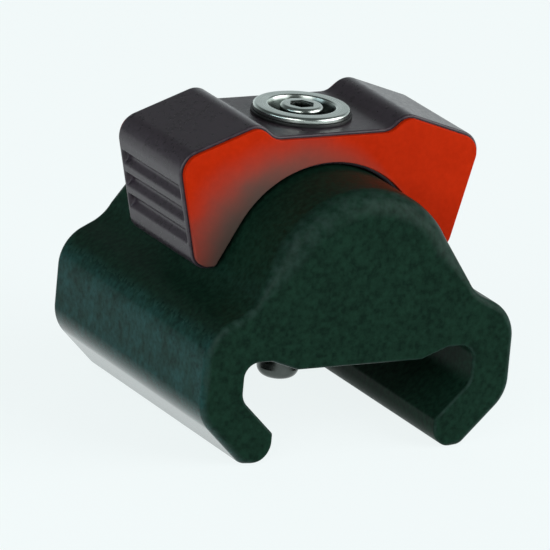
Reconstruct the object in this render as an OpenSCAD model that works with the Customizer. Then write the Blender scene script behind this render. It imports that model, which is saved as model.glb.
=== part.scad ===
// Plunger stop for a sailboat's T-shaped deck track.
// A channel-shaped slider straddles the track head. A sprung rod in its hump drops into a hole of the
// track, and a saddle-shaped knob over the hump lifts the rod out again.
// X runs across the track, Y along it and Z up. The origin is under the middle, level with the lips' soles.

/* [Track channel] */
// Width of the track head that the channel takes
track_w = 32; // [25:0.5:40]
// Play between the track head and each channel wall
track_gap = 0.6; // [0.2:0.1:1]
// How far each lip reaches in under the track head
lip_reach = 4.8; // [3:0.1:6]
// Thickness of a lip, square to its slope
lip_t = 5.7; // [4.5:0.1:7]
// Height of a lip's inner edge above its sole
lip_edge_h = 3.9; // [3.4:0.1:5]
// Height of the channel's upright walls, from the lips to the roof
head_room = 4.9; // [4:0.1:8]
// How far the bearing land hangs below the channel roof
land_drop = 1.4; // [0.5:0.1:2]
// Distance from a channel wall to the foot of the land's ramp
land_inset = 3.8; // [3.5:0.1:6]
// Width of the ramp at each side of the land
land_ramp = 3.8; // [2:0.1:4]

/* [Slider body] */
// Length of the slider along the track
body_l = 42; // [30:0.5:60]
// Thickness of the channel's side walls
wall_t = 5.8; // [4.5:0.1:8]
// Height of the shoulders' outer corner above the channel roof
shoulder_rise = 3.9; // [3:0.1:7]
// Fall of the shoulders, in degrees from level
shoulder_fall = 25.5; // [20:0.5:35]
// Radius of the hump's round top
hump_r = 13.8; // [12:0.1:15.5]
// Height of the hump's top above the channel roof
hump_rise = 21.3; // [20:0.1:28]
// Steepness of the hump's flanks, in degrees from level
hump_steep = 60.5; // [56:0.5:68]
// Rounding of the shoulders
shoulder_r = 5.5; // [2:0.1:6]
// Hollow rounding at the hump's foot
foot_r = 5.8; // [2:0.1:6.5]
// Rounding where a side wall turns into its lip
skirt_r = 5.4; // [2:0.1:8]

/* [Knob] */
// Length of the knob along the track, both end plates included
knob_l = 18.2; // [17:0.2:28]
// Thickness of each end plate
plate_t = 0.6; // [0.4:0.1:1]
// Distance of a plate's edge from the knob's edge
plate_inset = 0.4; // [0.1:0.05:0.5]
// Gap between the hump and the knob's arch
knob_gap = 0.2; // [0.1:0.05:0.5]
// Thickness of the knob over the top of the hump
crown_t = 4.2; // [3.8:0.1:6]
// Depth of the knob's arch, from its top to the tips
arch_h = 12.8; // [10:0.1:13.5]
// Width of a tip
tip_w = 3.1; // [2.5:0.1:4]
// Rounding of a tip's outer corner
tip_out_r = 2.4; // [0.6:0.1:2.6]
// Lean of the knob's flanks, in degrees from upright
flank_lean = 14; // [10:0.5:20]
// Half the width of the valley in the knob's top
valley_w = 8.2; // [7.6:0.1:9]
// Width of the slope from the valley to each crest
crest_run = 2.5; // [2.2:0.1:4]
// Height of the crests above the valley
crest_rise = 2; // [1.5:0.1:2.5]
// Fall of each wing's top, in degrees from level
wing_fall = 19.5; // [10:0.5:25]
// Rounding of a wing's outer corner
wing_r = 3; // [1:0.1:4]
// Number of finger grooves on each flank
groove_n = 3; // [1:1:4]
// Distance between finger grooves, up the flank
groove_pitch = 3.05; // [2.5:0.05:3.5]
// Radius of a finger groove
groove_r = 0.8; // [0.4:0.05:1.1]
// Distance of the lowest groove from the tip, up the flank
groove_first = 4.4; // [3.6:0.1:5]
// Wall left at each end of a finger groove
groove_wall = 0.7; // [0.4:0.1:2]
// Diameter of an end plate's pegs
peg_d = 3; // [2:0.1:4]
// Length of an end plate's pegs
peg_l = 4; // [2:0.1:5]
// Height of the pegs above the knob's tips
peg_rise = 10; // [8:0.1:11]

/* [Plunger] */
// Diameter of the plunger rod in its bushes
rod_d = 6; // [5:0.1:6.5]
// Diameter of the rod's nose, which enters the track's holes
nose_d = 5.5; // [4:0.1:5.6]
// Length of the nose below the bearing land
nose_l = 8.3; // [5:0.1:9]
// Rounding at the end of the nose
nose_edge_r = 1.4; // [0.5:0.1:2]
// Diameter of the rod's stem, which goes up into the knob
stem_d = 5; // [4.6:0.1:5.4]
// How far the rod's shoulder is let into the knob
shoulder_sink = 0.8; // [0.4:0.1:1]
// Lift of the knob from locked to free
lift = 8.3; // [6:0.1:8.4]
// Running clearance around the rod
rod_gap = 0.05; // [0.02:0.01:0.1]
// Length of the guide bush in the channel roof
guide_l = 3.6; // [3:0.1:5]
// Thickness of the roof above the spring chamber
roof_t = 3.2; // [2.5:0.1:4]
// Thickness of the stem bush's flange
flange_t = 1; // [0.6:0.1:1.5]
// Thickness of the lower clip
clip_t = 0.7; // [0.4:0.1:1]
// Free play between the lower clip and the guide bush
clip_play = 0.4; // [0.2:0.1:1]
// Thickness of the spring washer
washer_t = 0.7; // [0.5:0.1:1]

/* [Return spring] */
// Outside diameter of the return spring
spring_d = 9; // [8.4:0.1:9.6]
// Diameter of its wire
wire_d = 0.75; // [0.5:0.05:0.8]
// Number of its turns
spring_turns = 5; // [4:0.5:5]
// Clearance round the spring in its chamber
spring_gap = 0.3; // [0.2:0.05:0.6]

/* [Head fittings] */
// Thread diameter of the knob's screw
screw_d = 4; // [3:0.1:4]
// Length of the screw under its head
screw_l = 9; // [6:0.5:12]
// Diameter of the screw's head
screw_head_d = 5.6; // [5.2:0.1:6]
// Gap round the screw's head at the bottom of the cup washer's well
well_gap = 0.9; // [0.2:0.1:1]
// Height of the screw's head
screw_head_h = 2.2; // [1.8:0.1:2.6]
// Width of the hexagon socket across its flats
socket_w = 3; // [2:0.1:3.5]
// Depth of the hexagon socket
socket_depth = 1.5; // [1:0.1:1.6]
// Diameter of the cup washer
cup_d = 12.6; // [11.5:0.1:13]
// Width of the cup washer's mouth
mouth_d = 8.9; // [8.4:0.1:9.2]
// Thickness of the cup washer's sheet
sheet_t = 0.5; // [0.3:0.05:0.6]
// Height of the cup washer's rim
rim_h = 0.8; // [0.6:0.1:1.2]
// Depth of the cup washer's well below its rim
well_depth = 2.1; // [1.8:0.1:2.4]
// Thickness of the seat washer under the cup washer
seat_t = 0.4; // [0.2:0.1:0.8]
// Amount that the seat washer shows all round the cup washer
seat_margin = 0.25; // [0.05:0.05:0.4]

/* [Hidden] */

$fn = 64;
arc_step = 4;             // degrees between the points of a rounded corner
fit_gap = 0.02;           // between a pressed piece and its seat
loose_gap = 0.1;          // between a loose washer or clip and what it goes round
clip_depth = 0.5;         // of the clip's groove in the rod
cut = 1;                  // how far a cutter runs past a face
overhang = 100;           // longer than any piece

// Levels, from the soles up
channel_h = lip_reach + lip_edge_h + head_room;
land_z = channel_h - land_drop;
nose_z = land_z - nose_l;
guide_top_z = land_z + guide_l;
clip_z = guide_top_z + clip_play;
washer_z = clip_z + clip_t;
spring_z = washer_z + washer_t;
shoulder_z = channel_h + shoulder_rise;
hump_z = channel_h + hump_rise;
roof_z = hump_z - roof_t;
spring_top_z = roof_z - flange_t;
arch_z = hump_z + knob_gap;
rod_top_z = arch_z + shoulder_sink;
valley_z = arch_z + crown_t;
crest_z = valley_z + crest_rise;
tip_z = arch_z - arch_h;
seat_z = valley_z + seat_t;
rim_z = seat_z + rim_h;
well_z = rim_z - well_depth;
well_base_z = well_z - sheet_t;
stem_top_z = well_base_z - loose_gap;

// Half widths and radii
channel_x = track_w / 2 + track_gap;
side_x = channel_x + wall_t;
mouth_x = channel_x - lip_reach;
ramp_x = channel_x - land_inset;
rod_r = rod_d / 2;
bore_r = rod_r + rod_gap;
loose_r = rod_r + loose_gap;
neck_r = rod_r - clip_depth;
stem_r = stem_d / 2;
chamber_r = spring_d / 2 + spring_gap;
bush_r = chamber_r - fit_gap;
stem_bush_r = (bore_r + chamber_r) / 2;
spring_seat_r = chamber_r - loose_gap;
cup_r = cup_d / 2;
seat_r = cup_r + seat_margin;
well_r = screw_head_d / 2 + well_gap;
cup_mouth_r = mouth_d / 2;
cup_wall_r = cup_mouth_r + sheet_t;
pocket_r = cup_wall_r + loose_gap;
screw_r = screw_d / 2;

// The knob's core lies between its two end plates
core_l = knob_l - 2 * plate_t;

// Points of the arc that rounds corner b between its neighbours a and c
function direction(v) = v / norm(v);
function place(corner) = [corner.x, corner.y];
function rounded_corner(a, b, c, r) =
    let (
        u = direction(a - b),
        v = direction(c - b),
        half = acos(u * v) / 2,
        centre = b + direction(u + v) * r / sin(half),
        start = b + u * r / tan(half) - centre,
        finish = b + v * r / tan(half) - centre,
        from = atan2(start.y, start.x),
        turn = (atan2(finish.y, finish.x) - from + 540) % 360 - 180,
        steps = max(2, ceil(abs(turn) / arc_step))
    )
    [for (i = [0 : steps]) centre + r * [cos(from + turn * i / steps), sin(from + turn * i / steps)]];

// A closed outline from corners [x, y, rounding], where a rounding of 0 leaves the corner sharp
function outline(corners) =
    let (n = len(corners))
    [for (i = [0 : n - 1])
        let (
            b = place(corners[i]),
            a = place(corners[(i + n - 1) % n]),
            c = place(corners[(i + 1) % n])
        )
        each corners[i][2] > 0 ? rounded_corner(a, b, c, corners[i][2]) : [b]];

// The outline moved inwards by an amount, point by point
function left_of(v) = [-v.y, v.x];
function shrunk(points, amount) =
    let (n = len(points))
    [for (i = [0 : n - 1])
        let (
            before = left_of(direction(points[i] - points[(i + n - 1) % n])),
            after = left_of(direction(points[(i + 1) % n] - points[i]))
        )
        points[i] + (before + after) * amount / (1 + before * after)];

// The corners of the right half, then their mirror images in reverse order
function mirrored(corner) = [-corner.x, corner.y, corner[2]];
function both_sides(right) =
    concat(right, [for (i = [len(right) - 1 : -1 : 0]) if (right[i].x > 0) mirrored(right[i])]);

// Where the two flanks of a round top of radius r and summit z would meet
function apex_z(r, z) = z - r + r / cos(hump_steep);
// Half width between those flanks at height h
function flank_x(r, z, h) = (apex_z(r, z) - h) / tan(hump_steep);

// Stands a side view up, so that its outline lies across the track
module across(length) {
    rotate([90, 0, 0])
        linear_extrude(length, center = true)
            children();
}

// Solid turned about the Z axis from corners [radius, height, rounding]
module turned(corners) {
    rotate_extrude()
        polygon(outline(corners));
}

module drill(r, z0, z1) {
    translate([0, 0, z0])
        cylinder(r = r, h = z1 - z0);
}

module ring(outer, inner, z, t) {
    difference() {
        drill(outer, z, z + t);
        drill(inner, z - cut, z + t + cut);
    }
}

// Slider body

// Foot of the hump, where its flank meets the shoulder
foot_x = (apex_z(hump_r, hump_z) - shoulder_z - side_x * tan(shoulder_fall))
    / (tan(hump_steep) - tan(shoulder_fall));
foot_z = shoulder_z + (side_x - foot_x) * tan(shoulder_fall);

// A lip slopes at 45 degrees, so its faces are lines of height = x - offset
lip_inner = mouth_x - lip_edge_h;
lip_outer = lip_inner + lip_t * sqrt(2);
nose_r = 0.68 * (lip_outer - mouth_x);
lip_edge_r = 0.5;
lip_root_r = 2.6;
corner_r = 2;
sole_r = 1.7;
ramp_r = 1;

slider_side = [
    [ramp_x - land_ramp, land_z, ramp_r],
    [ramp_x, channel_h, ramp_r],
    [channel_x, channel_h, corner_r],
    [channel_x, channel_x - lip_inner, lip_root_r],
    [mouth_x, lip_edge_h, lip_edge_r],
    [mouth_x, 0, nose_r],
    [lip_outer, 0, sole_r],
    [side_x, side_x - lip_outer, skirt_r],
    [side_x, shoulder_z, shoulder_r],
    [foot_x, foot_z, foot_r],
    [0, apex_z(hump_r, hump_z), hump_r]
];

module slider_body() {
    color([0.10, 0.16, 0.13])
        difference() {
            across(body_l)
                polygon(outline(both_sides(slider_side)));
            drill(chamber_r, land_z - cut, roof_z);
            drill(stem_bush_r + fit_gap, roof_z - cut, hump_z + cut);
        }
}

// Bushes that guide the rod

module guide_bush() {
    color([0.72, 0.55, 0.28])
        ring(bush_r, bore_r, land_z, guide_l);
}

// The bush stops below the curve of the hump at its own edge
stem_bush_z = hump_z - hump_r + sqrt(pow(hump_r, 2) - pow(stem_bush_r, 2)) - loose_gap;

module stem_bush() {
    color([0.85, 0.85, 0.80])
        difference() {
            union() {
                drill(stem_bush_r, roof_z, stem_bush_z);
                drill(spring_seat_r, spring_top_z, roof_z);
            }
            drill(bore_r, spring_top_z - cut, stem_bush_z + cut);
        }
}

// Return spring, one wire wound from the spring washer up to the stem bush

wire_sides = 6;
turn_rings = 12;
spring_seat_gap = 0.05;
coil_r = spring_d / 2 - wire_d / 2;
coil_z = spring_z + wire_d / 2 + spring_seat_gap;
coil_h = spring_top_z - spring_z - wire_d - 2 * spring_seat_gap;
spring_rings = spring_turns * turn_rings;
coil_gap = coil_h / spring_turns - wire_d;
echo(str("least gap between the spring's turns: ", coil_gap, " mm"));

function coil_point(i, j) =
    let (
        around = 360 * i / turn_rings,
        side = 360 * j / wire_sides,
        r = coil_r + wire_d / 2 * cos(side)
    )
    [r * cos(around), r * sin(around), coil_z + coil_h * i / spring_rings + wire_d / 2 * sin(side)];

module return_spring() {
    last = spring_rings * wire_sides;
    color([0.70, 0.72, 0.72])
        polyhedron(
            points = [for (i = [0 : spring_rings]) for (j = [0 : wire_sides - 1]) coil_point(i, j)],
            faces = concat(
                [for (j = [1 : wire_sides - 2]) [0, j, j + 1]],
                [for (j = [1 : wire_sides - 2]) [last, last + j + 1, last + j]],
                [for (i = [0 : spring_rings - 1]) for (j = [0 : wire_sides - 1]) for (half = [0 : 1])
                    let (
                        k = (j + 1) % wire_sides,
                        low = i * wire_sides,
                        high = low + wire_sides
                    )
                    half == 0 ? [low + j, high + j, high + k] : [low + j, high + k, low + k]]
            )
        );
}

module spring_washer() {
    color([0.70, 0.72, 0.72])
        ring(spring_seat_r, loose_r, washer_z, washer_t);
}

// E-shaped clip in the rod's groove, open towards +X

clip_r = chamber_r - 6 * loose_gap;
clip_hole_r = neck_r + fit_gap;
clip_mouth = 1.5 * neck_r;
clip_relief_r = 0.8;

module lower_clip() {
    color([0.25, 0.25, 0.26])
        translate([0, 0, clip_z])
            linear_extrude(clip_t)
                difference() {
                    circle(clip_r);
                    circle(clip_hole_r);
                    translate([0, -clip_mouth / 2])
                        square([overhang, clip_mouth]);
                    for (side = [-1, 1])
                        rotate(side * 115)
                            translate([clip_hole_r, 0])
                                circle(clip_relief_r);
                }
}

// Plunger rod: a nose for the track's holes, a groove for the clip and a tapped stem for the knob's screw

clip_slot = clip_t + loose_gap;
tap_z = well_z - screw_l - cut;
nose_step_z = land_z - 2 * loose_gap;

module plunger_rod() {
    color([0.78, 0.80, 0.80])
        difference() {
            turned([
                [0, nose_z, 0],
                [nose_d / 2, nose_z, nose_edge_r],
                [nose_d / 2, nose_step_z, 0],
                [rod_r, nose_step_z, 0],
                [rod_r, washer_z - clip_slot, 0],
                [neck_r, washer_z - clip_slot, 0],
                [neck_r, washer_z, 0],
                [rod_r, washer_z, 0],
                [rod_r, rod_top_z, 0],
                [stem_r, rod_top_z, 0],
                [stem_r, stem_top_z, 0],
                [0, stem_top_z, 0]
            ]);
            drill(screw_r + fit_gap, tap_z, stem_top_z + cut);
        }
}

// Knob: a saddle over the hump, whose flanks lean out so that fingers can pull it up

knob_arch_r = hump_r + knob_gap;
tip_in_x = flank_x(knob_arch_r, arch_z, tip_z);
tip_out_x = tip_in_x + tip_w;
crest_x = valley_w + crest_run;
wing_x = (tip_out_x + (crest_z + crest_x * tan(wing_fall) - tip_z) * tan(flank_lean))
    / (1 + tan(wing_fall) * tan(flank_lean));
wing_z = crest_z - (wing_x - crest_x) * tan(wing_fall);
tip_in_r = 0.8;
crest_r = 2.6;
valley_r = 2.5;

knob_side = [
    [tip_in_x, tip_z, tip_in_r],
    [tip_out_x, tip_z, tip_out_r],
    [wing_x, wing_z, wing_r],
    [crest_x, crest_z, crest_r],
    [valley_w, valley_z, valley_r]
];

// The outline runs back under the arch from the left tip to the right one
knob_corners = concat(both_sides(knob_side), [[0, apex_z(knob_arch_r, arch_z), knob_arch_r]]);

// Pegs sit midway between the arch and the flank
peg_z = tip_z + peg_rise;
arch_x = sqrt(pow(knob_arch_r, 2) - pow(peg_z - arch_z + knob_arch_r, 2));
peg_x = (arch_x + tip_out_x + peg_rise * tan(flank_lean)) / 2;

module pegs(r, depth) {
    for (side = [-1, 1])
        translate([side * peg_x, 0, peg_z])
            rotate([90, 0, 0])
                cylinder(r = r, h = depth);
}

// Finger grooves lie along the flanks, counted up from the tips, and stop short of the knob's ends
module finger_grooves() {
    for (side = [-1, 1], i = [0 : groove_n - 1])
        let (rise = groove_first + i * groove_pitch)
            translate([side * (tip_out_x + rise * sin(flank_lean)), 0, tip_z + rise * cos(flank_lean)])
                rotate([90, 0, 0])
                    cylinder(r = groove_r, h = core_l - 2 * groove_wall, center = true);
}

module knob() {
    color([0.22, 0.21, 0.23])
        difference() {
            across(core_l)
                polygon(outline(knob_corners));
            finger_grooves();
            drill(loose_r, arch_z - cut, rod_top_z);
            drill(stem_r + rod_gap, rod_top_z - cut, valley_z + cut);
            drill(pocket_r, well_base_z, valley_z + cut);
            drill(seat_r + loose_gap, valley_z, crest_z + cut);
            for (end = [0, 1])
                rotate([0, 0, 180 * end])
                    translate([0, peg_l + loose_gap - core_l / 2, 0])
                        pegs(peg_d / 2 + fit_gap, peg_l + loose_gap + cut);
        }
}

// A thin plate covers each end of the knob, a little inside its edge, with two pegs pressed into the knob
module end_plate() {
    color([0.75, 0.13, 0.06]) {
        translate([0, -(core_l + plate_t) / 2, 0])
            across(plate_t)
                polygon(shrunk(outline(knob_corners), plate_inset));
        translate([0, peg_l - core_l / 2, 0])
            pegs(peg_d / 2, peg_l + plate_t / 2);
    }
}

module front_plate() {
    end_plate();
}

module rear_plate() {
    rotate([0, 0, 180])
        end_plate();
}

// Head fittings: the screw clamps the knob between the cup washer and the rod's shoulder

module seat_washer() {
    color([0.08, 0.08, 0.08])
        ring(seat_r, pocket_r, valley_z, seat_t);
}

sheet_edge_r = 0.15;
rim_outer_r = 0.4;
rim_inner_r = 0.25;

module cup_washer() {
    color([0.80, 0.83, 0.82])
        turned([
            [screw_r + loose_gap, well_base_z, 0],
            [well_r + sheet_t, well_base_z, sheet_edge_r],
            [cup_wall_r, seat_z, 0],
            [cup_r, seat_z, sheet_edge_r],
            [cup_r, rim_z, rim_outer_r],
            [cup_mouth_r, rim_z, rim_inner_r],
            [well_r, well_z, sheet_edge_r],
            [screw_r + loose_gap, well_z, 0]
        ]);
}

head_edge_r = 0.5;
socket_floor_z = well_z + screw_head_h - socket_depth;

module knob_screw() {
    color([0.80, 0.83, 0.82])
        difference() {
            turned([
                [0, well_z - screw_l, 0],
                [screw_r, well_z - screw_l, head_edge_r],
                [screw_r, well_z, 0],
                [screw_head_d / 2, well_z, 0],
                [screw_head_d / 2, well_z + screw_head_h, head_edge_r],
                [0, well_z + screw_head_h, 0]
            ]);
            translate([0, 0, socket_floor_z])
                linear_extrude(socket_depth + cut)
                    polygon([for (i = [0 : 5]) socket_w / sqrt(3) * [cos(60 * i), sin(60 * i)]]);
        }
}

slider_body();
guide_bush();
stem_bush();
return_spring();
spring_washer();
lower_clip();
plunger_rod();
knob();
front_plate();
rear_plate();
seat_washer();
cup_washer();
knob_screw();
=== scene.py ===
# %% [markdown]
# # A plunger stop for a T-shaped track
#
# The real part is a short black channel that slides along a deck track. A sprung rod in its hump drops
# into a hole of the track, and a saddle-shaped knob with two red end plates lifts the rod out again.
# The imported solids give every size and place. This script dresses them: it rebuilds the pieces that show
# with rounded edges, gives each a finish from nodes, and sets up the camera and the light. Lengths are in
# millimetres until a mesh is made, because that is how such a part is drawn.

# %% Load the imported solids
import math

import bmesh
import bpy
from mathutils import Matrix, Vector


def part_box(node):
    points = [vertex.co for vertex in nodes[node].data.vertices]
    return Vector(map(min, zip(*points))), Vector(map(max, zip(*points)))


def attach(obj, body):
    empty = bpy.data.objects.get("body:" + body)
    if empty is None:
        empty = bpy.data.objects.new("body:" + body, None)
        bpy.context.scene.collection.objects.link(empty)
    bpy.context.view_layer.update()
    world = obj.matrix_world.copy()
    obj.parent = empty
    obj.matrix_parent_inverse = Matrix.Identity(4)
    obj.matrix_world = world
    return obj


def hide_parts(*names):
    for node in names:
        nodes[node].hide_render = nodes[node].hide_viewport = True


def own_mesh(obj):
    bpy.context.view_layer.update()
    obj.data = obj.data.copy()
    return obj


MM = 0.001
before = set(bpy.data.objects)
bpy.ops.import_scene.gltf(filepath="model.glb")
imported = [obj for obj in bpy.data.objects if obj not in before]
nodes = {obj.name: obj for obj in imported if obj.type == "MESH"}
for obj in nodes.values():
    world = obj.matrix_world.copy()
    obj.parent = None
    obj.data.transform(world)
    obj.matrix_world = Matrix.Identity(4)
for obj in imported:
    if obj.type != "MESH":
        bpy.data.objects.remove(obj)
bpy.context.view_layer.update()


# %% [markdown]
# ## Camera
#
# The photo's edges run almost parallel, so it was taken from more than a metre away with a long lens. The
# camera looks down at the front left corner and is rolled a little, because upright edges lean to the
# right in the photo. It could be placed by three angles, but here its axes are worked out as vectors: then
# the aim is easily moved from the part's middle to the point that lies in the middle of the frame.

# %% Camera
PHOTO_SIDE, PIXELS_PER_MM = 550, 7.784
VIEW_TURN, VIEW_FALL, VIEW_ROLL = math.radians(29.88), math.radians(17.53), math.radians(-5.29)
DISTANCE, SENSOR = 1187.0, 36.0
MIDDLE = Vector((0, 0, 25))
AIM_LEFT, AIM_DOWN = 2.08, 7.12


def placed(name, data):
    """A new object in the scene that holds a mesh, a camera or a lamp."""
    made = bpy.data.objects.new(name, data)
    bpy.context.scene.collection.objects.link(made)
    return made


sight = Vector((
    math.sin(VIEW_TURN) * math.cos(VIEW_FALL),
    math.cos(VIEW_TURN) * math.cos(VIEW_FALL),
    -math.sin(VIEW_FALL),
))
level = Vector((math.cos(VIEW_TURN), -math.sin(VIEW_TURN), 0))
plumb = level.cross(sight)
right = level * math.cos(VIEW_ROLL) - plumb * math.sin(VIEW_ROLL)
up = plumb * math.cos(VIEW_ROLL) + level * math.sin(VIEW_ROLL)
aim = MIDDLE - AIM_LEFT * right - AIM_DOWN * up

lens = bpy.data.cameras.new("long_lens")
lens.sensor_width = SENSOR
lens.lens = SENSOR * DISTANCE * PIXELS_PER_MM / PHOTO_SIDE
lens.clip_start, lens.clip_end = 0.1, 20
camera = placed("camera", lens)
axes = Matrix((right, up, -sight)).transposed().to_4x4()
camera.matrix_world = Matrix.Translation((aim - sight * DISTANCE) * MM) @ axes
bpy.context.scene.camera = camera
print("lens", round(lens.lens), "mm, camera", DISTANCE, "mm away")

# %% [markdown]
# ## Outlines with rounded corners
#
# The slider and the knob have the same outline all along, like pieces cut from a long bar. So each is
# drawn once as a list of corners, each with its own rounding, and then drawn out along the track. A
# bevel modifier could round everything by one radius, but here every corner has its own.

# %% One rounded corner
ARC_STEP = 3.0


def rounded_corner(before, corner, after, radius):
    """Points of the arc that rounds a corner between its two neighbours."""
    u, v = (before - corner).normalized(), (after - corner).normalized()
    half = math.acos(max(-1, min(1, u.dot(v)))) / 2
    centre = corner + (u + v).normalized() * (radius / math.sin(half))
    reach = radius / math.tan(half)
    start, finish = corner + u * reach - centre, corner + v * reach - centre
    first = math.atan2(start.y, start.x)
    turn = (math.atan2(finish.y, finish.x) - first + 3 * math.pi) % (2 * math.pi) - math.pi
    steps = max(2, math.ceil(abs(math.degrees(turn)) / ARC_STEP))
    angles = [first + turn * i / steps for i in range(steps + 1)]
    return [centre + radius * Vector((math.cos(a), math.sin(a))) for a in angles]


print("a rounded corner has a point every", ARC_STEP, "degrees")

# %% Whole outlines
def outline(corners):
    """A closed outline from corners (x, z, rounding); a rounding of 0 leaves the corner sharp."""
    points = []
    places = [Vector(c[:2]) for c in corners]
    for i, (x, z, radius) in enumerate(corners):
        if radius > 0:
            points += rounded_corner(places[i - 1], places[i], places[(i + 1) % len(places)], radius)
        else:
            points.append(Vector((x, z)))
    return points


def both_sides(right_half):
    """The corners of the right half, then their mirror images in reverse order."""
    return right_half + [(-x, z, r) for x, z, r in reversed(right_half) if x > 0]


tile = outline(both_sides([(1, -1, 0.2), (1, 1, 0.2)]))
print("a square tile with rounded corners has", len(tile), "points")

# %% [markdown]
# ### Outlines moved inwards
#
# The plates are a little smaller than the knob's end, and a rounded edge is an outline that shrinks step
# by step. Scaling would shrink the wide parts most. So each point moves along the mean of its two sides'
# normals, by just so much that the sides themselves move by the amount asked for.

# %% Outlines moved inwards
def shrunk(points, amounts):
    """The outline moved inwards, each point by its own amount."""
    moved = []
    for i, (p, amount) in enumerate(zip(points, amounts)):
        back = (p - points[i - 1]).normalized()
        ahead = (points[(i + 1) % len(points)] - p).normalized()
        n1, n2 = Vector((back.y, -back.x)), Vector((ahead.y, -ahead.x))
        moved.append(p - (n1 + n2) * (amount / (1 + n1.dot(n2))))
    return moved


def same(points, value):
    """One value for every point of an outline."""
    return [value] * len(points)


small_tile = shrunk(tile, same(tile, 0.1))
print("the tile shrunk by 0.1 is", round(2 * max(p.x for p in small_tile), 3), "wide")

# %% [markdown]
# ## Skins through rings
#
# A drawn-out piece is a row of rings with a skin over them. Extruding the outline in edit mode would give
# the same sides, but rings can also shrink towards an end, which rounds its edge, or grow a groove. Every
# point carries an "edge" value, 1 in the middle of a rounded edge, which a finish reads to turn the edge
# paler: partly wear, partly a painted highlight.

# %% Skin through rings
WELD = 1e-5


def finished(name, bm):
    """A smooth-shaded object from a bmesh in millimetres."""
    bmesh.ops.remove_doubles(bm, verts=bm.verts, dist=WELD)
    bmesh.ops.recalc_face_normals(bm, faces=bm.faces)
    bmesh.ops.scale(bm, vec=(MM, MM, MM), verts=bm.verts)
    mesh = bpy.data.meshes.new(name)
    bm.to_mesh(mesh)
    bm.free()
    mesh.shade_smooth()
    return placed(name, mesh)


def lofted(name, rings):
    """A skin through rings of equally many points (x, y, z, edge), closed at both ends."""
    bm = bmesh.new()
    edge = bm.verts.layers.float.new("edge")
    made = []
    for row in rings:
        made.append([bm.verts.new(p[:3]) for p in row])
        for v, p in zip(made[-1], row):
            v[edge] = p[3]
    for near, far in zip(made, made[1:]):
        for j in range(len(near)):
            bm.faces.new((near[j - 1], far[j - 1], far[j], near[j]))
    bm.faces.new(made[0])
    bm.faces.new(reversed(made[-1]))
    return finished(name, bm)


print("points closer than", WELD, "mm become one")

# %% Rounded ends
EDGE_STEPS = 6


def rounded_end(points, y, inward, radii):
    """Rings that round off the end of a drawn-out outline, from its flat end to its full width."""
    rings = []
    for i in range(EDGE_STEPS + 1):
        t = math.radians(90) * (1 - i / EDGE_STEPS)
        rim = shrunk(points, [r * (1 - math.cos(t)) for r in radii])
        depths = [y + inward * r * (1 - math.sin(t)) for r in radii]
        rings.append([(p.x, depth, p.y, math.sin(2 * t)) for p, depth in zip(rim, depths)])
    return rings


def drawn_out(name, points, y0, y1, near_radii, far_radii):
    """The outline drawn out along Y from y0 to y1. Each point has its own edge rounding at either end."""
    near, far = rounded_end(points, y0, 1, near_radii), rounded_end(points, y1, -1, far_radii)
    return lofted(name, near + far[::-1])


print("an end's edge is rounded in", EDGE_STEPS, "steps")

# %% [markdown]
# ## Turned solids
#
# Washers, bushes, the screw and the rod come off a lathe. A Screw modifier on a profile would make them
# too. Here the profile's points are spun in code, so that it can use the same rounded corners as above,
# and a point on the axis stays one point instead of a ring of many.

# %% Turned solids
TURN_SIDES, ON_AXIS = 96, 1e-6


def turned(name, corners, sides=TURN_SIDES):
    """A piece turned about the Z axis from corners (radius, height, rounding)."""
    turns = [2 * math.pi * i / sides for i in range(sides)]
    bm = bmesh.new()
    rings = []
    for p in outline(corners):
        if p.x < ON_AXIS:
            rings.append([bm.verts.new((0, 0, p.y))] * sides)
        else:
            rings.append([bm.verts.new((p.x * math.cos(t), p.x * math.sin(t), p.y)) for t in turns])
    for i, far in enumerate(rings):
        near = rings[i - 1]
        for j in range(sides):
            loop = list(dict.fromkeys((near[j - 1], near[j], far[j], far[j - 1])))
            if len(loop) > 2:
                bm.faces.new(loop)
    return finished(name, bm)


def ring(name, bore, radius, foot, top, bore_soft, soft):
    """A plain ring, with one rounding for the edges of its bore and one for its outer edges."""
    return turned(name, [
        (bore, foot, bore_soft),
        (radius, foot, soft),
        (radius, top, soft),
        (bore, top, bore_soft),
    ])


print("turned pieces have", TURN_SIDES, "sides")

# %% [markdown]
# ## Cuts and crisp edges
#
# A Boolean modifier bores the holes, as a drill would. It is applied at once, so that the piece keeps a
# plain mesh. Smooth shading alone would smear over flat faces next to small roundings. So edges above a
# certain angle are marked sharp, and a Weighted Normal modifier lets the large faces decide.

# %% Cuts and crisp edges
SHARP, FACE_WEIGHT = 38, 60


def bored(piece, cutter, operation="DIFFERENCE"):
    """Cuts the cutter out of the piece, or joins it on, and throws the cutter away."""
    cut = piece.modifiers.new("bore", "BOOLEAN")
    cut.operation, cut.solver, cut.object = operation, "EXACT", cutter
    made = bpy.data.meshes.new_from_object(piece.evaluated_get(bpy.context.evaluated_depsgraph_get()))
    piece.modifiers.remove(cut)
    piece.data = made
    bpy.data.objects.remove(cutter)
    return piece


def edged(piece, sharp=SHARP):
    """Keeps real edges crisp and flat faces flat: normals follow the largest face at each point."""
    piece.data.shade_smooth()
    piece.data.set_sharp_from_angle(angle=math.radians(sharp))
    even = piece.modifiers.new("even", "WEIGHTED_NORMAL")
    even.keep_sharp, even.weight = True, FACE_WEIGHT
    return piece


print("edges above", SHARP, "degrees stay crisp")

# %% [markdown]
# ## Fitting a piece to its CAD solid
#
# Each piece takes its outer sizes from the solid that it stands for, so the two can't drift apart. It
# rides on the body that carries that solid, hides it, and gets its finish.

# %% Fitting a piece
def span(node):
    """Half width, half length, foot and top of a CAD solid, in millimetres."""
    low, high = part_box(node)
    return high.x / MM, high.y / MM, low.z / MM, high.z / MM


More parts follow.
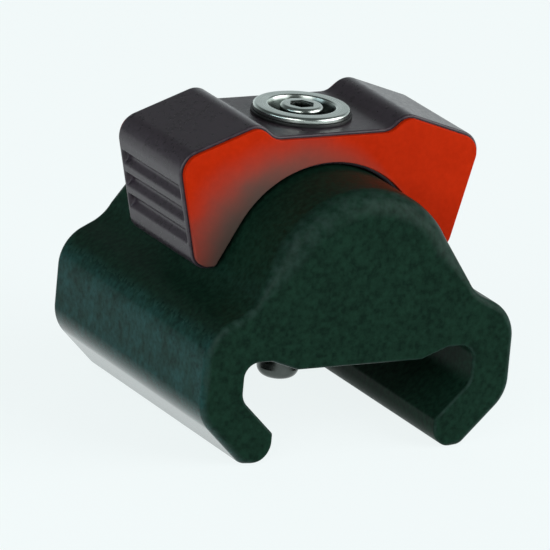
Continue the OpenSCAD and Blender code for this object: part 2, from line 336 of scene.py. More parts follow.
def fitted(piece, node, body, finish):
    """Puts a finished piece in place of its CAD node, on that node's body."""
    piece.data.materials.clear()
    piece.data.materials.append(finish)
    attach(piece, body)
    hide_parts(node)
    bpy.context.view_layer.update()
    return piece


# %% [markdown]
# ## Finishes from nodes
#
# Every finish is a small tree of nodes that ends in one Principled shader. The trees could be wired by
# hand in the shader editor. In code a few helpers keep them short: one adds a node, links or sets its
# inputs and returns an output. Textures use the object's own space, in metres, so a noise scale of 5000
# makes grains of about a fifth of a millimetre, and they stay on the piece when it moves.

# %% Starting a finish
def empty_tree(owner, output="ShaderNodeOutputMaterial"):
    """Clears the nodes of a material or world. Returns its tree and the socket for its surface."""
    owner.use_nodes = True
    tree = owner.node_tree
    tree.nodes.clear()
    return tree, tree.nodes.new(output).inputs["Surface"]


def new_finish(name):
    """A node material with its shader, and the object's own coordinates."""
    material = bpy.data.materials.new(name)
    tree, surface = empty_tree(material)
    shader = tree.nodes.new("ShaderNodeBsdfPrincipled")
    tree.links.new(shader.outputs["BSDF"], surface)
    place = tree.nodes.new("ShaderNodeTexCoord").outputs["Object"]
    return material, tree, shader, place


print("in texture space a millimetre is", MM)

# %% Adding nodes
def feed(tree, socket, value):
    """Links a socket to another node's output, or sets it to a plain value."""
    if isinstance(value, bpy.types.NodeSocket):
        tree.links.new(value, socket)
    else:
        socket.default_value = value


def step(tree, kind, inputs, output=0, **settings):
    """Adds a node, feeds its inputs and returns one of its outputs."""
    made = tree.nodes.new(kind)
    for key, value in settings.items():
        setattr(made, key, value)
    for key, value in inputs.items():
        feed(tree, made.inputs[key], value)
    return made.outputs[output]


def set_shader(tree, shader, **values):
    """Feeds the shader's sockets, named with _ for a space."""
    for key, value in values.items():
        feed(tree, shader.inputs[key.replace("_", " ")], value)


def maths(tree, operation, *values):
    """A sum with one to three numbers."""
    return step(tree, "ShaderNodeMath", dict(enumerate(values)), operation=operation)


def vectors(tree, operation, *values, output="Vector"):
    """A sum with one or two vectors."""
    return step(tree, "ShaderNodeVectorMath", dict(enumerate(values)), output, operation=operation)


print("helpers:", [helper.__name__ for helper in (feed, step, set_shader, maths, vectors)])

# %% Noise and colours
NOISE_LOW, NOISE_HIGH = 0.3, 0.7


def noise(tree, place, scale, detail=2.0):
    """Soft random blotches, so many per metre."""
    return step(tree, "ShaderNodeTexNoise", {"Vector": place, "Scale": scale, "Detail": detail})


def remap(tree, value, low, high, to_low, to_high, **settings):
    """Takes one range of a value to another."""
    return step(tree, "ShaderNodeMapRange", {0: value, 1: low, 2: high, 3: to_low, 4: to_high}, **settings)


def spread(tree, blotches, to_low, to_high):
    """Spreads the range in which nearly all of a noise lies."""
    return remap(tree, blotches, NOISE_LOW, NOISE_HIGH, to_low, to_high)


def tint(tree, factor, first, second):
    """A colour between two, by a factor."""
    rgba = [(*c, 1) if isinstance(c, tuple) else c for c in (first, second)]
    return step(tree, "ShaderNodeMix", {0: factor, 6: rgba[0], 7: rgba[1]}, 2, data_type="RGBA")


def raised(tree, height, strength, depth):
    """A bump of the surface."""
    return step(tree, "ShaderNodeBump", {"Strength": strength, "Distance": depth, "Height": height})


print("noise is spread from", NOISE_LOW, "to", NOISE_HIGH)

# %% [markdown]
# ## Slider body
#
# One outline makes the whole body: the channel with its two sloping lips, the shoulders and the hump. It
# could be put together from blocks and Booleans, but the real one is a single moulding whose faces run
# into each other in soft corners, and an outline of corners says just that.

# %% Slider body outline
SIDE_X, BODY_HALF, _, HUMP_Z = span("slider_body")
CHANNEL_X, MOUTH_X, LAND_X, RAMP_X = 16.6, 11.8, 9.0, 12.8
CHANNEL_Z, LAND_Z, SHOULDER_Z = 13.6, 12.2, 17.5
LIP_EDGE_Z, LIP_T, LIP_ROUND = 3.9, 5.7, 0.68
HUMP_R, HUMP_STEEP = 13.8, math.radians(60.5)
STEEP, FALL = math.tan(HUMP_STEEP), math.tan(math.radians(25.5))


def apex(radius, top):
    """Height where the two flanks of a round top would meet."""
    return top - radius + radius / math.cos(HUMP_STEEP)


lip_inner = MOUTH_X - LIP_EDGE_Z
lip_outer = lip_inner + LIP_T * math.sqrt(2)
foot_x = (apex(HUMP_R, HUMP_Z) - SHOULDER_Z - SIDE_X * FALL) / (STEEP - FALL)
foot_z = SHOULDER_Z + (SIDE_X - foot_x) * FALL
slider_outline = outline(both_sides([
    (LAND_X, LAND_Z, 1.0),  # the land that lies on the track
    (RAMP_X, CHANNEL_Z, 1.0),
    (CHANNEL_X, CHANNEL_Z, 2.0),  # the channel's roof and wall
    (CHANNEL_X, CHANNEL_X - lip_inner, 2.6),
    (MOUTH_X, LIP_EDGE_Z, 0.5),  # the lip's inner edge, foot and slope
    (MOUTH_X, 0, LIP_ROUND * (lip_outer - MOUTH_X)),
    (lip_outer, 0, 1.7),
    (SIDE_X, SIDE_X - lip_outer, 5.4),
    (SIDE_X, SHOULDER_Z, 5.5),  # the shoulder
    (foot_x, foot_z, 5.8),  # the foot of the hump, then its top
    (0, apex(HUMP_R, HUMP_Z), HUMP_R),
]))
print("slider outline has", len(slider_outline), "points")

# %% [markdown]
# ### The slider's end edges
#
# The rounding of the end edges is largest over the hump, where the photo shows a broad light band along
# the edge. It dies away down the hump's flanks and is small in the channel, which the track has to fit. A
# bevel has one width, so each point of the outline gets its own radius instead.

# %% End edges
CHANNEL_EDGE, BODY_EDGE, HUMP_EDGE = 0.4, 1.0, 3.2
FLANK_START, LIP_FOOT_Z, TOUCH = 0.4, 3, 0.01
LIP_FADE = (MOUTH_X + 1, MOUTH_X + 4)
flank_z = HUMP_Z - HUMP_R * (1 - math.cos(HUMP_STEEP))
swell_z = foot_z + FLANK_START * (flank_z - foot_z)


def eased(value, low, high):
    """Goes softly from 0 to 1 as a value goes from low to high."""
    t = min(1, max(0, (value - low) / (high - low)))
    return t * t * (3 - 2 * t)


def edge_radius(p):
    """End rounding at a point of the slider's outline: small in the channel, large over the hump."""
    if p.y > foot_z:
        return BODY_EDGE + (HUMP_EDGE - BODY_EDGE) * eased(p.y, swell_z, flank_z)
    if abs(p.x) < CHANNEL_X + TOUCH and LIP_FOOT_Z < p.y < CHANNEL_Z + TOUCH:
        return CHANNEL_EDGE
    return CHANNEL_EDGE + (BODY_EDGE - CHANNEL_EDGE) * eased(abs(p.x), *LIP_FADE)


slider_edges = [edge_radius(p) for p in slider_outline]
print("end edges from", min(slider_edges), "to", max(slider_edges), "mm")

# %% [markdown]
# ### Black finish
#
# The slider is a satin black with a green cast, and the knob a greyer black with a purple cast. Both have
# a moulded grain, which is one noise that drives colour, gloss and bump together. The mesh's "edge" value
# turns the finish paler along the rounded edges: partly wear, partly a painted highlight. The slider's
# outer sides get a patchy teal painted sheen, and the slopes below them are polished, so they mirror the
# floor. Such places could be marked in a texture, but a face's own direction finds them: outwards, and
# outwards and down.

# %% Outer sides
def outer_sides(tree, place, half_width):
    """Masks for faces that look outwards, and for those of them that also look down."""
    normal = tree.nodes.new("ShaderNodeNewGeometry").outputs["Normal"]
    rise = step(tree, "ShaderNodeSeparateXYZ", {0: normal}, "Z")
    across = vectors(tree, "MULTIPLY", place, (1 / half_width, 0, 0))
    outward = vectors(tree, "DOT_PRODUCT", across, normal, output="Value")
    # a face that looks up counts less, and one that looks down counts more
    aside = maths(tree, "MULTIPLY_ADD", rise, -0.5, outward)
    side = remap(tree, aside, 0.3, 0.95, 0, 1)
    below = maths(tree, "MULTIPLY", side, remap(tree, rise, -0.45, -0.05, 1, 0))
    return side, below


print("the outer sides end at", round(SIDE_X, 1), "mm")

# %% Black finish
DRIFT_SCALE, WEAR_AND_HIGHLIGHT_SCALE, PATCH_SCALE = 140, 900, 420
SIDE_SMOOTHER, SIDE_POLISH = -0.27, 0.65


def satin_black(name, deep, pale, wear_and_highlight, grain_scale, shine, rough, painted_side_sheen=None):
    """Grained black whose edges turn paler, partly wear and partly painted highlight, with a painted sheen
    of another colour on the outer sides.
    """
    material, tree, shader, place = new_finish(name)
    grain = noise(tree, place, grain_scale)
    drift = noise(tree, place, DRIFT_SCALE)
    mottle = maths(tree, "ADD", grain, spread(tree, drift, -0.06, 0.06))
    plain = tint(tree, spread(tree, mottle, 0, 1), deep, pale)
    dullness = spread(tree, mottle, rough - 0.04, rough + 0.06)
    if painted_side_sheen:
        side, below = outer_sides(tree, place, SIDE_X * MM)
        patches = remap(tree, noise(tree, place, PATCH_SCALE, detail=3), 0.35, 0.65, 0.6, 1.4)
        # painted sheen: the outer sides are tinted a paler teal where the floor's light falls on them
        painted_sheen_share = maths(tree, "MULTIPLY", side, maths(tree, "MULTIPLY", mottle, patches))
        plain = tint(tree, painted_sheen_share, plain, painted_side_sheen)
        dullness = maths(tree, "MULTIPLY_ADD", side, SIDE_SMOOTHER, dullness)
        polish = maths(tree, "MULTIPLY", below, SIDE_POLISH)
        set_shader(tree, shader, Coat_Weight=polish, Coat_Roughness=0.1, Coat_IOR=1.5)
    # Paler edges: partly wear, partly a painted highlight along the rounded edges.
    edge = step(tree, "ShaderNodeAttribute", {}, "Fac", attribute_name="edge")
    rub_and_highlight = remap(tree, noise(tree, place, WEAR_AND_HIGHLIGHT_SCALE, detail=3), 0.35, 0.7, 0.12, 0.6)
    set_shader(
        tree, shader,
        Base_Color=tint(tree, maths(tree, "MULTIPLY", edge, rub_and_highlight), plain, wear_and_highlight),
        Roughness=dullness,
        Specular_IOR_Level=shine,
        Normal=raised(tree, grain, 0.2, 0.04 * MM),
    )
    return material


print("blotches per metre: drift", DRIFT_SCALE, "wear", WEAR_AND_HIGHLIGHT_SCALE, "painted_side_sheen", PATCH_SCALE)

# %% Black of the slider
body_black = satin_black(
    "body_black",
    deep=(0.0035, 0.014, 0.0085),
    pale=(0.008, 0.030, 0.018),
    # the edge colour: partly wear, partly a painted highlight
    wear_and_highlight=(0.032, 0.060, 0.050),
    grain_scale=1500,
    shine=0.03,
    rough=0.36,
    # a painted teal sheen for the outer sides
    painted_side_sheen=(0.019, 0.074, 0.070),
)
print("finish:", body_black.name, len(body_black.node_tree.nodes), "nodes")

# %% [markdown]
# ### The slider itself
#
# The outline is drawn out along the track with its end edges. Then one stepped bore takes the spring and
# the bush above it, as in the solid, so that the hole in the hump shows when the knob is lifted.

# %% Slider body
SPRING_BORE, STEM_BORE, ROOF_Z = 4.8, 3.945, 31.7
PAST = 1  # how far a drill goes past the face that it comes out of
slider = drawn_out("slider_shell", slider_outline, -BODY_HALF, BODY_HALF, slider_edges, slider_edges)
bored(slider, turned("slider_bore", [
    (0, LAND_Z - PAST, 0),
    (SPRING_BORE, LAND_Z - PAST, 0),
    (SPRING_BORE, ROOF_Z, 0),
    (STEM_BORE, ROOF_Z, 0),
    (STEM_BORE, HUMP_Z + PAST, 0),
    (0, HUMP_Z + PAST, 0),
]))
fitted(edged(slider), "slider_body", "slider", body_black)

# %% [markdown]
# ## Knob
#
# The knob is a saddle over the hump, cut to the hump's curve below and dished on top for the washer. Each
# flank has three finger grooves. They are part of the outline, each a small wave across the flank, so
# their lips are soft. A Boolean would leave hard edges that need rounding again.

# %% Knob outline
ARCH_GAP, VALLEY_RISE, CREST_RISE = 0.2, 4.2, 6.2
_, CORE_HALF, TIP_Z, _ = span("knob")
ARCH_R, ARCH_Z = HUMP_R + ARCH_GAP, HUMP_Z + ARCH_GAP
VALLEY_Z, CREST_Z = ARCH_Z + VALLEY_RISE, ARCH_Z + CREST_RISE
VALLEY_X, CREST_X, TIP_W = 8.2, 10.7, 3.1
LEAN, WING_FALL = math.radians(14), math.tan(math.radians(19.5))

tip_in = (apex(ARCH_R, ARCH_Z) - TIP_Z) / STEEP
tip_out = tip_in + TIP_W
# the wing's corner, where its falling top meets the leaning flank
wing_x = tip_out + (CREST_Z + CREST_X * WING_FALL - TIP_Z) * math.tan(LEAN)
wing_x /= 1 + WING_FALL * math.tan(LEAN)
wing_z = CREST_Z - (wing_x - CREST_X) * WING_FALL
print("knob tips from", round(tip_in, 2), "to", round(tip_out, 2), "mm; wing at", round(wing_x, 2), "mm")

# %% Finger grooves
GROOVES, FIRST_GROOVE, GROOVE_PITCH = 3, 4.4, 3.05
GROOVE_DEPTH, GROOVE_HALF, WAVE_STEPS = 0.8, 1.2, 10


def finger_groove(rise, depth):
    """Points of one groove across the flank, hollowed like a wave so that its lips are soft."""
    points = []
    for i in range(-WAVE_STEPS, WAVE_STEPS + 1):
        s = rise + GROOVE_HALF * i / WAVE_STEPS
        d = depth * (1 + math.cos(math.pi * i / WAVE_STEPS)) / 2
        points.append((
            tip_out + s * math.sin(LEAN) - d * math.cos(LEAN),
            TIP_Z + s * math.cos(LEAN) + d * math.sin(LEAN),
            0,
        ))
    return points


def saddle(depth):
    """The knob's outline with grooves of one depth."""
    right_half = [(tip_in, TIP_Z, 0.8), (tip_out, TIP_Z, 2.4)]
    for i in range(GROOVES):
        right_half += finger_groove(FIRST_GROOVE + GROOVE_PITCH * i, depth)
    right_half += [(wing_x, wing_z, 3.0), (CREST_X, CREST_Z, 2.6), (VALLEY_X, VALLEY_Z, 2.5)]
    return outline(both_sides(right_half) + [(0, apex(ARCH_R, ARCH_Z), ARCH_R)])


smooth_saddle = saddle(0)
print("knob outline has", len(smooth_saddle), "points")

# %% [markdown]
# ### The knob itself
#
# The grooves stop short of the knob's ends. So the skin starts at the end with an outline whose grooves
# have no depth, and they deepen over a few rings. The far half mirrors the near one. The stepped bore takes
# the rod, its thinner end, the cup washer's foot and the seat washer.

# %% Black of the knob
knob_black = satin_black(
    "knob_black",
    deep=(0.020, 0.014, 0.019),
    pale=(0.037, 0.026, 0.035),
    # the edge colour: partly wear, partly a painted highlight
    wear_and_highlight=(0.10, 0.08, 0.09),
    grain_scale=1700,
    shine=0.32,
    rough=0.3,
)
print("finish:", knob_black.name, len(knob_black.node_tree.nodes), "nodes")

# %% Knob
KNOB_EDGE, GROOVE_WALL, GROOVE_END, GROOVE_STEPS = 0.25, 0.5, 0.4, 8
KNOB_SHARP = 50  # keeps the grooves' steep ends smooth
ROD_TOP_Z, WELL_BASE_Z = 35.9, 37.9
ROD_BORE, NECK_BORE, WELL_BORE, SEAT_BORE = 3.1, 2.55, 5.05, 6.65
near_half = rounded_end(smooth_saddle, -CORE_HALF, 1, same(smooth_saddle, KNOB_EDGE))
for i in range(GROOVE_STEPS + 1):
    y = GROOVE_WALL - CORE_HALF + GROOVE_END * i / GROOVE_STEPS
    depth = GROOVE_DEPTH * eased(i, 0, GROOVE_STEPS)
    near_half.append([(p.x, y, p.y, 0) for p in saddle(depth)])
far_half = [[(x, -y, z, edge) for x, y, z, edge in row] for row in reversed(near_half)]
knob = lofted("knob_saddle", near_half + far_half)
bored(knob, turned("knob_bore", [
    (0, ARCH_Z - PAST, 0),
    (ROD_BORE, ARCH_Z - PAST, 0),
    (ROD_BORE, ROD_TOP_Z, 0),
    (NECK_BORE, ROD_TOP_Z, 0),
    (NECK_BORE, WELL_BASE_Z, 0),
    (WELL_BORE, WELL_BASE_Z, 0),
    (WELL_BORE, VALLEY_Z, 0),
    (SEAT_BORE, VALLEY_Z, 0),
    (SEAT_BORE, CREST_Z + PAST, 0),
    (0, CREST_Z + PAST, 0),
]))
fitted(edged(knob, KNOB_SHARP), "knob", "plunger", knob_black)

# %% [markdown]
# ## Red plates
#
# The plates are a matt red. Along the arch the red turns a brownish grey, in a band that widens towards
# the left tip: painted shade where the hump in front of the plate shades it. A texture mask would tie the
# band to one mesh. So the finish measures how far a point is from the arch and how far to the left of it,
# and a little noise breaks the band up.

# %% Red finish
# The third colour is the brownish grey of the painted shade along the arch.
RED_DARK, RED_LIGHT, PAINTED_SHADE_RED = (0.45, 0.018, 0.001), (0.52, 0.023, 0.002), (0.11, 0.082, 0.068)
SHADE_SCALE, PEEL_SCALE = 260, 1500
NARROWEST, WIDEST = 1.0 * MM, 10.5 * MM


def moulded_red(name, arch_r, arch_z):
    """Matt red with painted shade along an arch of a radius whose centre is at a height."""
    material, tree, shader, place = new_finish(name)
    shade = noise(tree, place, SHADE_SCALE, detail=3)
    peel = noise(tree, place, PEEL_SCALE)
    mottle = maths(tree, "ADD", shade, peel)
    plain = tint(tree, remap(tree, mottle, 0.7, 1.3, 0, 1), RED_DARK, RED_LIGHT)
    from_arch = vectors(tree, "SUBTRACT", place, (0, 0, arch_z))
    flat = vectors(tree, "MULTIPLY", from_arch, (1, 0, 1))
    away = vectors(tree, "LENGTH", flat, output="Value")
    heading = vectors(tree, "NORMALIZE", flat)
    leftness = vectors(tree, "DOT_PRODUCT", heading, (-1, 0, 0), output="Value")
    width = remap(tree, leftness, -0.6, 0.95, NARROWEST, WIDEST)
    share = maths(tree, "DIVIDE", maths(tree, "SUBTRACT", away, arch_r), width)
    ragged = maths(tree, "ADD", share, spread(tree, shade, -0.05, 0.05))
    near = remap(tree, ragged, 0.0, 1.0, 1.0, 0.0, interpolation_type="SMOOTHSTEP")
    # painted shade: near the arch the red turns grey, most towards the left
    painted_shade = maths(tree, "MULTIPLY", near, remap(tree, leftness, -0.5, 0.7, 0.25, 1.0))
    set_shader(
        tree, shader,
        Base_Color=tint(tree, painted_shade, plain, PAINTED_SHADE_RED),
        Roughness=spread(tree, shade, 0.42, 0.52),
        Specular_IOR_Level=0.03,
        Normal=raised(tree, peel, 0.12, 0.05 * MM),
    )
    return material


plate_red = moulded_red("plate_red", ARCH_R * MM, (ARCH_Z - ARCH_R) * MM)
print("finish:", plate_red.name, len(plate_red.node_tree.nodes), "nodes")

# %% [markdown]
# ### End plates
#
# A thin plate closes either end of the knob and lies a little inside its edge, so that a dark rim shows
# round the red. It is the knob's outline without grooves, shrunk and drawn out. Two pegs on its back hold
# it. They are joined on by a Boolean, which makes one closed mesh of plate and pegs.

# %% End plates
PLATE_INSET, PLATE_EDGE, BACK_EDGE, PLATE_T = 0.4, 0.15, 0.02, 0.6
PEG_R, PEG_L, PEG_RISE, PEG_SOFT, PEG_SIDES = 1.5, 4.0, 10, 0.3, 48
PEG_Z = TIP_Z + PEG_RISE
arch_x = math.sqrt(ARCH_R ** 2 - (PEG_Z - ARCH_Z + ARCH_R) ** 2)
peg_x = (arch_x + tip_out + PEG_RISE * math.tan(LEAN)) / 2
plate_outline = shrunk(smooth_saddle, same(smooth_saddle, PLATE_INSET))


def end_plate(name, facing):
    """A plate on the end of the knob that faces -Y or +Y, with the two pegs that hold it."""
    soft, square = same(plate_outline, PLATE_EDGE), same(plate_outline, BACK_EDGE)
    ends = sorted((facing * CORE_HALF, facing * (CORE_HALF + PLATE_T)))
    edges = (soft, square) if facing < 0 else (square, soft)
    plate = drawn_out(name, plate_outline, *ends, *edges)
    root = PLATE_T / 2
    profile = [(0, 0, 0), (PEG_R, 0, 0), (PEG_R, PEG_L + root, PEG_SOFT), (0, PEG_L + root, 0)]
    across = Matrix.Rotation(math.radians(90) * facing, 4, "X")
    for side in (-1, 1):
        peg = turned("peg", profile, PEG_SIDES)
        start = Vector((side * peg_x, facing * (CORE_HALF + root), PEG_Z)) * MM
        peg.data.transform(Matrix.Translation(start) @ across)
        bored(plate, peg, "UNION")
    return edged(plate)


for name, facing in (("front_plate", -1), ("rear_plate", 1)):
    fitted(end_plate(name + "_red", facing), name, "plunger", plate_red)

# %% [markdown]
# ## Metals
#
# Turned metal has fine rings round its axis. An image of rings could be wrapped on, but here the distance
# from the axis drives a noise, so the rings are uneven as a lathe tool leaves them. In the cup washer's
# dish, below its brim and inside its mouth, the steel is painted dark: painted shade in the recess. The
# rod is a darker steel.

# %% Metal finish
LINE_SCALE, SMEAR_SCALE = 5200, 420
# The dark colour and the two depths below are for painted shade in the cup washer's dish.
DISH_SHADE = (0.02, 0.03, 0.026)
SHADE_FULL_DEPTH, SHADE_NONE_DEPTH = 0.6 * MM, 0.1 * MM  # depths below the brim


def turned_metal(name, dark, light, rough_low, rough_high, shaded_dish=None):
    """Metal with lathe rings; a dish given as (radius, height of its brim) gets painted shade in it."""
    material, tree, shader, place = new_finish(name)
    height = step(tree, "ShaderNodeSeparateXYZ", {0: place}, "Z")
    flat = vectors(tree, "MULTIPLY", place, (1, 1, 0))
    radius = vectors(tree, "LENGTH", flat, output="Value")
    lines = noise(tree, step(tree, "ShaderNodeCombineXYZ", {0: radius, 2: height}), LINE_SCALE)
    smear = noise(tree, place, SMEAR_SCALE, detail=3)
    metal = tint(tree, spread(tree, smear, 0, 1), dark, light)
    if shaded_dish:
        reach, brim = shaded_dish
        # painted shade: inside the mouth and below the brim the steel turns dark
        inside = maths(tree, "LESS_THAN", radius, reach)
        sunk_shade = remap(tree, height, brim - SHADE_FULL_DEPTH, brim - SHADE_NONE_DEPTH, 0.95, 0)
        metal = tint(tree, maths(tree, "MULTIPLY", inside, sunk_shade), metal, DISH_SHADE)
    set_shader(
        tree, shader,
        Base_Color=metal,
        Metallic=1.0,
        Roughness=spread(tree, lines, rough_low, rough_high),
        Normal=raised(tree, lines, 0.10, 0.02 * MM),
    )
    return material


DISH_REACH, DISH_BRIM = 4.7 * MM, 40.5 * MM
stainless = turned_metal(
    "stainless", (0.50, 0.56, 0.52), (0.62, 0.68, 0.64), 0.20, 0.34, shaded_dish=(DISH_REACH, DISH_BRIM))
dark_steel = turned_metal("dark_steel", (0.06, 0.07, 0.065), (0.10, 0.11, 0.105), 0.16, 0.28)
spring_steel = turned_metal("spring_steel", (0.36, 0.37, 0.37), (0.48, 0.49, 0.49), 0.25, 0.40)
bush_bronze = turned_metal("bush_bronze", (0.40, 0.25, 0.09), (0.55, 0.37, 0.15), 0.25, 0.42)
print("finishes:", [m.name for m in (stainless, dark_steel, spring_steel, bush_bronze)])

# %% [markdown]
# ## Small plastics
#
# The stem bush is a pale acetal and the seat washer a black nylon. Both are small and mostly hidden, so a
# slow drift of colour and gloss and a fine bump are enough.

# %% Plastic finish
TONE_SCALE, FINE_SCALE = 700, 5000


def plain_plastic(name, dark, light, rough_low, rough_high):
    """Plastic whose colour and gloss drift together."""
    material, tree, shader, place = new_finish(name)
    tone = noise(tree, place, TONE_SCALE, detail=3)
    set_shader(
        tree, shader,
        Base_Color=tint(tree, spread(tree, tone, 0, 1), dark, light),
        Roughness=spread(tree, tone, rough_low, rough_high),
        Normal=raised(tree, noise(tree, place, FINE_SCALE), 0.15, 0.03 * MM),
    )
    return material


bush_acetal = plain_plastic("bush_acetal", (0.62, 0.62, 0.56), (0.72, 0.72, 0.66), 0.40, 0.55)
seat_nylon = plain_plastic("seat_nylon", (0.006, 0.007, 0.007), (0.014, 0.015, 0.015), 0.45, 0.60)
print("finishes:", bush_acetal.name, seat_nylon.name)

# %% [markdown]
# ## Washers on top of the knob
#
# The bright cup washer is a thin dished sheet with a broad flat rim, and the dark seat washer lies under
# that rim. A pressed sheet could be a surface with a Solidify modifier. As a turned profile its rim, wall
# and floor each keep their own thickness and rounding.

# %% Cup washer and seat washer
cup_r, _, _, rim_z = span("cup_washer")
seat_r, _, _, seat_z = span("seat_washer")
HOLE_R, BASE_R, MOUTH_R, SHEET_T, CUP_DEPTH, CUP_SIDES = 2.1, 3.7, 4.45, 0.5, 2.1, 128
well_z = rim_z - CUP_DEPTH
cup = turned("cup_washer_dish", [
    (HOLE_R, WELL_BASE_Z, 0),
    (BASE_R + SHEET_T, WELL_BASE_Z, 0.15),
    (MOUTH_R + SHEET_T, seat_z, 0),
    (cup_r, seat_z, 0.15),
    (cup_r, rim_z, 0.4),
    (MOUTH_R, rim_z, 0.25),
    (BASE_R, well_z, 0.15),
    (HOLE_R, well_z, 0),
], CUP_SIDES)
fitted(edged(cup), "cup_washer", "plunger", stainless)

seat = ring("seat_washer_ring", WELL_BORE, seat_r, VALLEY_Z, seat_z, 0.05, 0.1)
fitted(edged(seat), "seat_washer", "plunger", seat_nylon)

# %% [markdown]
# ## Knob screw
#
# A low screw with a hexagon socket sits in the dish and clamps the knob on the rod. A Boolean could cut
# the socket, but its corners would fall on edges of the head and leave slivers. So the head is turned with
# a round hole, and the points on the hole's wall are then pressed in to the six flats.

# %% Knob screw
head_r, _, screw_z, head_z = span("knob_screw")
SHANK_R, KEY_SIZE, SOCKET_DEPTH, ON_WALL = 2.0, 3.0, 1.5, 1e-7
SOCKET_R = KEY_SIZE / math.sqrt(3)


def hexagonal(piece, radius):
    """Presses a round hole into a hexagon: the points on its wall move in to six flats."""
    for v in piece.data.vertices:
        if abs(v.co.xy.length - radius * MM) < ON_WALL:
            turn = math.atan2(v.co.y, v.co.x) % (math.pi / 3) - math.pi / 6
            v.co.xy *= math.cos(math.pi / 6) / math.cos(turn)
    return piece


screw = turned("knob_screw_head", [
    (0, screw_z, 0),
    (SHANK_R, screw_z, 0.5),
    (SHANK_R, well_z, 0),
    (head_r, well_z, 0.1),
    (head_r, head_z, 0.5),
    (SOCKET_R, head_z, 0),
    (SOCKET_R, head_z - SOCKET_DEPTH, 0),
    (0, head_z - SOCKET_DEPTH, 0),
])
fitted(edged(hexagonal(screw, SOCKET_R)), "knob_screw", "plunger", stainless)

# %% [markdown]
# ## Plunger rod
#
# The rod's nose hangs in the channel and drops into the track's holes, so its end is well rounded. Above
# it are a groove for the clip, the long guided part, and a thinner end that is tapped for the screw. All of
# it is one profile. The groove is plain and square, because the clip fills it.

# %% Plunger rod
rod_r, _, nose_z, stem_z = span("plunger_rod")
NOSE_R, NOSE_SOFT, NECK_R, TAP_R = 2.75, 1.4, 2.5, 2.02
CLIP_Z, WASHER_Z, SPRING_Z = 16.1, 16.9, 17.6
STEP_DROP, TAP_SPARE = 0.2, 1
step_z, tap_z = LAND_Z - STEP_DROP, screw_z - TAP_SPARE
rod = turned("plunger_rod_turned", [
    (0, nose_z, 0),
    (NOSE_R, nose_z, NOSE_SOFT),
    (NOSE_R, step_z, 0.05),
    (rod_r, step_z, 0.05),
    (rod_r, CLIP_Z, 0),
    (NECK_R, CLIP_Z, 0),
    (NECK_R, WASHER_Z, 0),
    (rod_r, WASHER_Z, 0),
    (rod_r, ROD_TOP_Z, 0.1),
    (NECK_R, ROD_TOP_Z, 0),
    (NECK_R, stem_z, 0.2),
    (TAP_R, stem_z, 0),
    (TAP_R, tap_z, 0),
    (0, tap_z, 0),
])
fitted(edged(rod), "plunger_rod", "plunger", dark_steel)

# %% [markdown]
# ## Bushes and spring washer
#
# The bronze guide bush in the channel's roof and the flanged bush under the hump's top guide the rod. The
# spring washer lies on the clip. At rest only the guide bush can be seen, from below. Cylinders with a
# bevel modifier would do as well. Turned profiles put the same lightly broken edges in the mesh itself.

# %% Bushes and spring washer
BUSH_BORE, SLEEVE_R, WASHER_BORE, WASHER_R = 3.05, 3.925, 3.1, 4.7
guide_r, _, _, guide_z = span("guide_bush")
guide = ring("guide_bush_turned", BUSH_BORE, guide_r, LAND_Z, guide_z, 0.15, 0.15)
fitted(edged(guide), "guide_bush", "slider", bush_bronze)

flange_r, _, flange_z, sleeve_z = span("stem_bush")
stem_bush = turned("stem_bush_turned", [
    (BUSH_BORE, flange_z, 0.1),
    (flange_r, flange_z, 0.1),
    (flange_r, ROOF_Z, 0.1),
    (SLEEVE_R, ROOF_Z, 0),
    (SLEEVE_R, sleeve_z, 0.15),
    (BUSH_BORE, sleeve_z, 0.15),
])
fitted(edged(stem_bush), "stem_bush", "slider", bush_acetal)

washer = ring("spring_washer_turned", WASHER_BORE, WASHER_R, WASHER_Z, SPRING_Z, 0.08, 0.08)
fitted(edged(washer), "spring_washer", "plunger", dark_steel)

# %% [markdown]
# ## Return spring
#
# The spring is one wire along a helix. A curve with a round bevel would do, but rings of points give a
# closed mesh at once. The body hides the spring.

# %% Return spring
LIFT, TURNS, WIRE_R, PER_TURN, WIRE_SIDES = 8.3, 5, 0.375, 48, 12
spring_r, _, spring_low, spring_high = span("return_spring")
wire_low, wire_high = spring_low + WIRE_R, spring_high - WIRE_R


def wire_ring(share):
    """A ring of points round the wire, at a share of the way from its lower end."""
    t = 2 * math.pi * TURNS * share
    z = wire_low + (wire_high - wire_low) * share
    points = []
    for j in range(WIRE_SIDES):
        s = 2 * math.pi * j / WIRE_SIDES
        r = spring_r - WIRE_R + WIRE_R * math.cos(s)
        points.append((r * math.cos(t), r * math.sin(t), z + WIRE_R * math.sin(s), 0))
    return points


wire_steps = TURNS * PER_TURN
spring = lofted("return_spring_coil", [wire_ring(i / wire_steps) for i in range(wire_steps + 1)])
fitted(spring, "return_spring", "slider", spring_steel)
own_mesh(spring)

# %% [markdown]
# ## Clip
#
# The clip in the rod's lower groove is a flat stamping, and its CAD solid already has that shape. It is
# hidden in the body as well, so it keeps its solid and only gets the spring's finish.

# %% Clip
clip = nodes["lower_clip"]
clip.data.materials.clear()
clip.data.materials.append(spring_steel)
print("clip keeps its CAD solid,", len(clip.data.polygons), "faces")

# %% [markdown]
# ## Floor
#
# The photo's ground is an even, very pale cyan with next to no shadow. More light would bleach the part as
# well, so the floor takes its paleness from its own colour: what the camera or a reflection sees of it is
# mostly that plain colour, with a share of real shading so that the part's soft shadow stays.

# %% Floor
PALE, PAPER_WHITE, PLAIN_SHARE = (0.863, 0.947, 0.965), (0.94, 1.0, 1.0, 1), 0.87
FLOOR_R, FLOOR_SIDES, FLOOR_DROP = 2.5, 96, 0.02 * MM


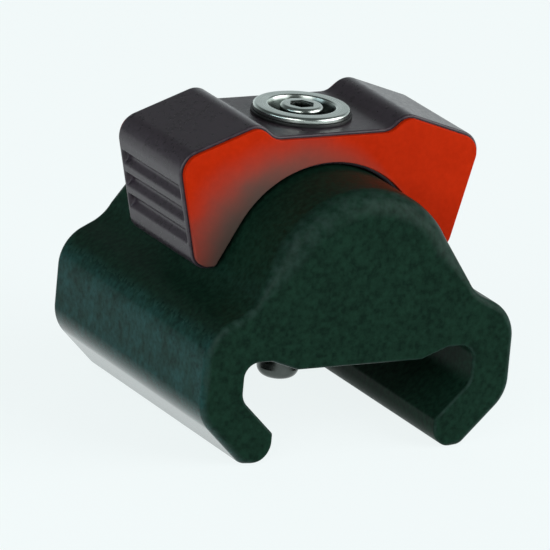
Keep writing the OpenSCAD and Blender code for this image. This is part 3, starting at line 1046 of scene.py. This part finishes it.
def pale_floor():
    """A matt floor that camera, glossy and transmission rays see mostly as one plain colour."""
    material = bpy.data.materials.new("pale_floor")
    tree, surface = empty_tree(material)
    rays = tree.nodes.new("ShaderNodeLightPath").outputs
    seen = maths(tree, "MAXIMUM", rays["Is Camera Ray"], rays["Is Glossy Ray"])
    seen = maths(tree, "MAXIMUM", seen, rays["Is Transmission Ray"])
    share = maths(tree, "MULTIPLY", seen, PLAIN_SHARE)
    matt = step(tree, "ShaderNodeBsdfDiffuse", {"Color": (*PALE, 1)})
    plain = step(tree, "ShaderNodeEmission", {"Color": PAPER_WHITE, "Strength": 1.0})
    tree.links.new(step(tree, "ShaderNodeMixShader", {0: share, 1: matt, 2: plain}), surface)
    return material


bm = bmesh.new()
bmesh.ops.create_circle(bm, cap_ends=True, segments=FLOOR_SIDES, radius=FLOOR_R)
disc = bpy.data.meshes.new("floor")
bm.to_mesh(disc)
bm.free()
disc.materials.append(pale_floor())
floor = placed("floor", disc)
floor.location.z = -FLOOR_DROP
print("floor radius", FLOOR_R, "m")

# %% [markdown]
# ## Sky
#
# The sky is what the shiny parts mirror. A plain white one would wash the blacks out. So it is dim, with
# a pale sheet low down behind the part, as in a small photo booth: it lights up the knob's right wing and
# the washer's rim, and leaves the slopes that look up dark.

# %% Sky
DIM, BEHIND = (0.07, 0.08, 0.08), (0.7, 0.7, 0)
world = bpy.data.worlds.new("studio")
bpy.context.scene.world = world
sky, sky_surface = empty_tree(world, "ShaderNodeOutputWorld")
# in a world, Generated is the direction that a ray goes in
way = sky.nodes.new("ShaderNodeTexCoord").outputs["Generated"]
height = step(sky, "ShaderNodeSeparateXYZ", {0: way}, "Z")
low_down = remap(sky, height, 0.1, 0.6, 1, 0)
behind = vectors(sky, "DOT_PRODUCT", way, BEHIND, output="Value")
sheet = maths(sky, "MULTIPLY", low_down, remap(sky, behind, 0.0, 0.8, 0.1, 1))
dome = step(sky, "ShaderNodeBackground", {"Color": tint(sky, sheet, DIM, PALE), "Strength": 1.0})
sky.links.new(dome, sky_surface)
print("sky:", len(sky.nodes), "nodes")

# %% [markdown]
# ## Lamps
#
# Four large square lamps keep shadows and shine soft. Small ones or a sun would draw hard spots that the
# photo doesn't have. The key lights the front from the right, the fill gives the left side its cool tone,
# and the glint makes the light band on the hump's front edge. The back lamp lights the rear for other
# views. It gives no shine, because in the photo's view that would lie on the left shoulder.

# %% Lamps
LAMP_AIM = Vector((0, 0, 20 * MM))


def softbox(name, toward, away, size, watts, colour=(1, 1, 1)):
    """A square lamp that looks at the part from a direction."""
    lamp = bpy.data.lights.new(name, "AREA")
    lamp.shape, lamp.size, lamp.energy, lamp.color = "SQUARE", size, watts, colour
    box = placed(name, lamp)
    outward = Vector(toward).normalized()
    box.location = LAMP_AIM + outward * away
    box.rotation_mode = "QUATERNION"
    box.rotation_quaternion = outward.to_track_quat("Z", "Y")
    box.visible_camera = False
    return box


softbox("key", (0.8, -0.6, 0.3), away=0.9, size=1.0, watts=11.0)
softbox("fill", (-1.0, -0.1, 0.03), away=0.8, size=0.6, watts=2.6, colour=(0.8, 1.0, 1.08))
softbox("glint", (-0.66, -0.62, 0.42), away=0.8, size=0.45, watts=2.2)
back = softbox("back", (0.2, 1.0, 0.08), away=1.0, size=0.7, watts=5.0)
back.visible_glossy = False
print("lamps:", [lamp.name for lamp in bpy.data.lights])

# %% [markdown]
# ## Colours
#
# The Standard view shows colours as they are written, without a film look.

# %% Colours as they are written
bpy.context.scene.view_settings.view_transform = "Standard"
print("view:", bpy.context.scene.view_settings.view_transform)
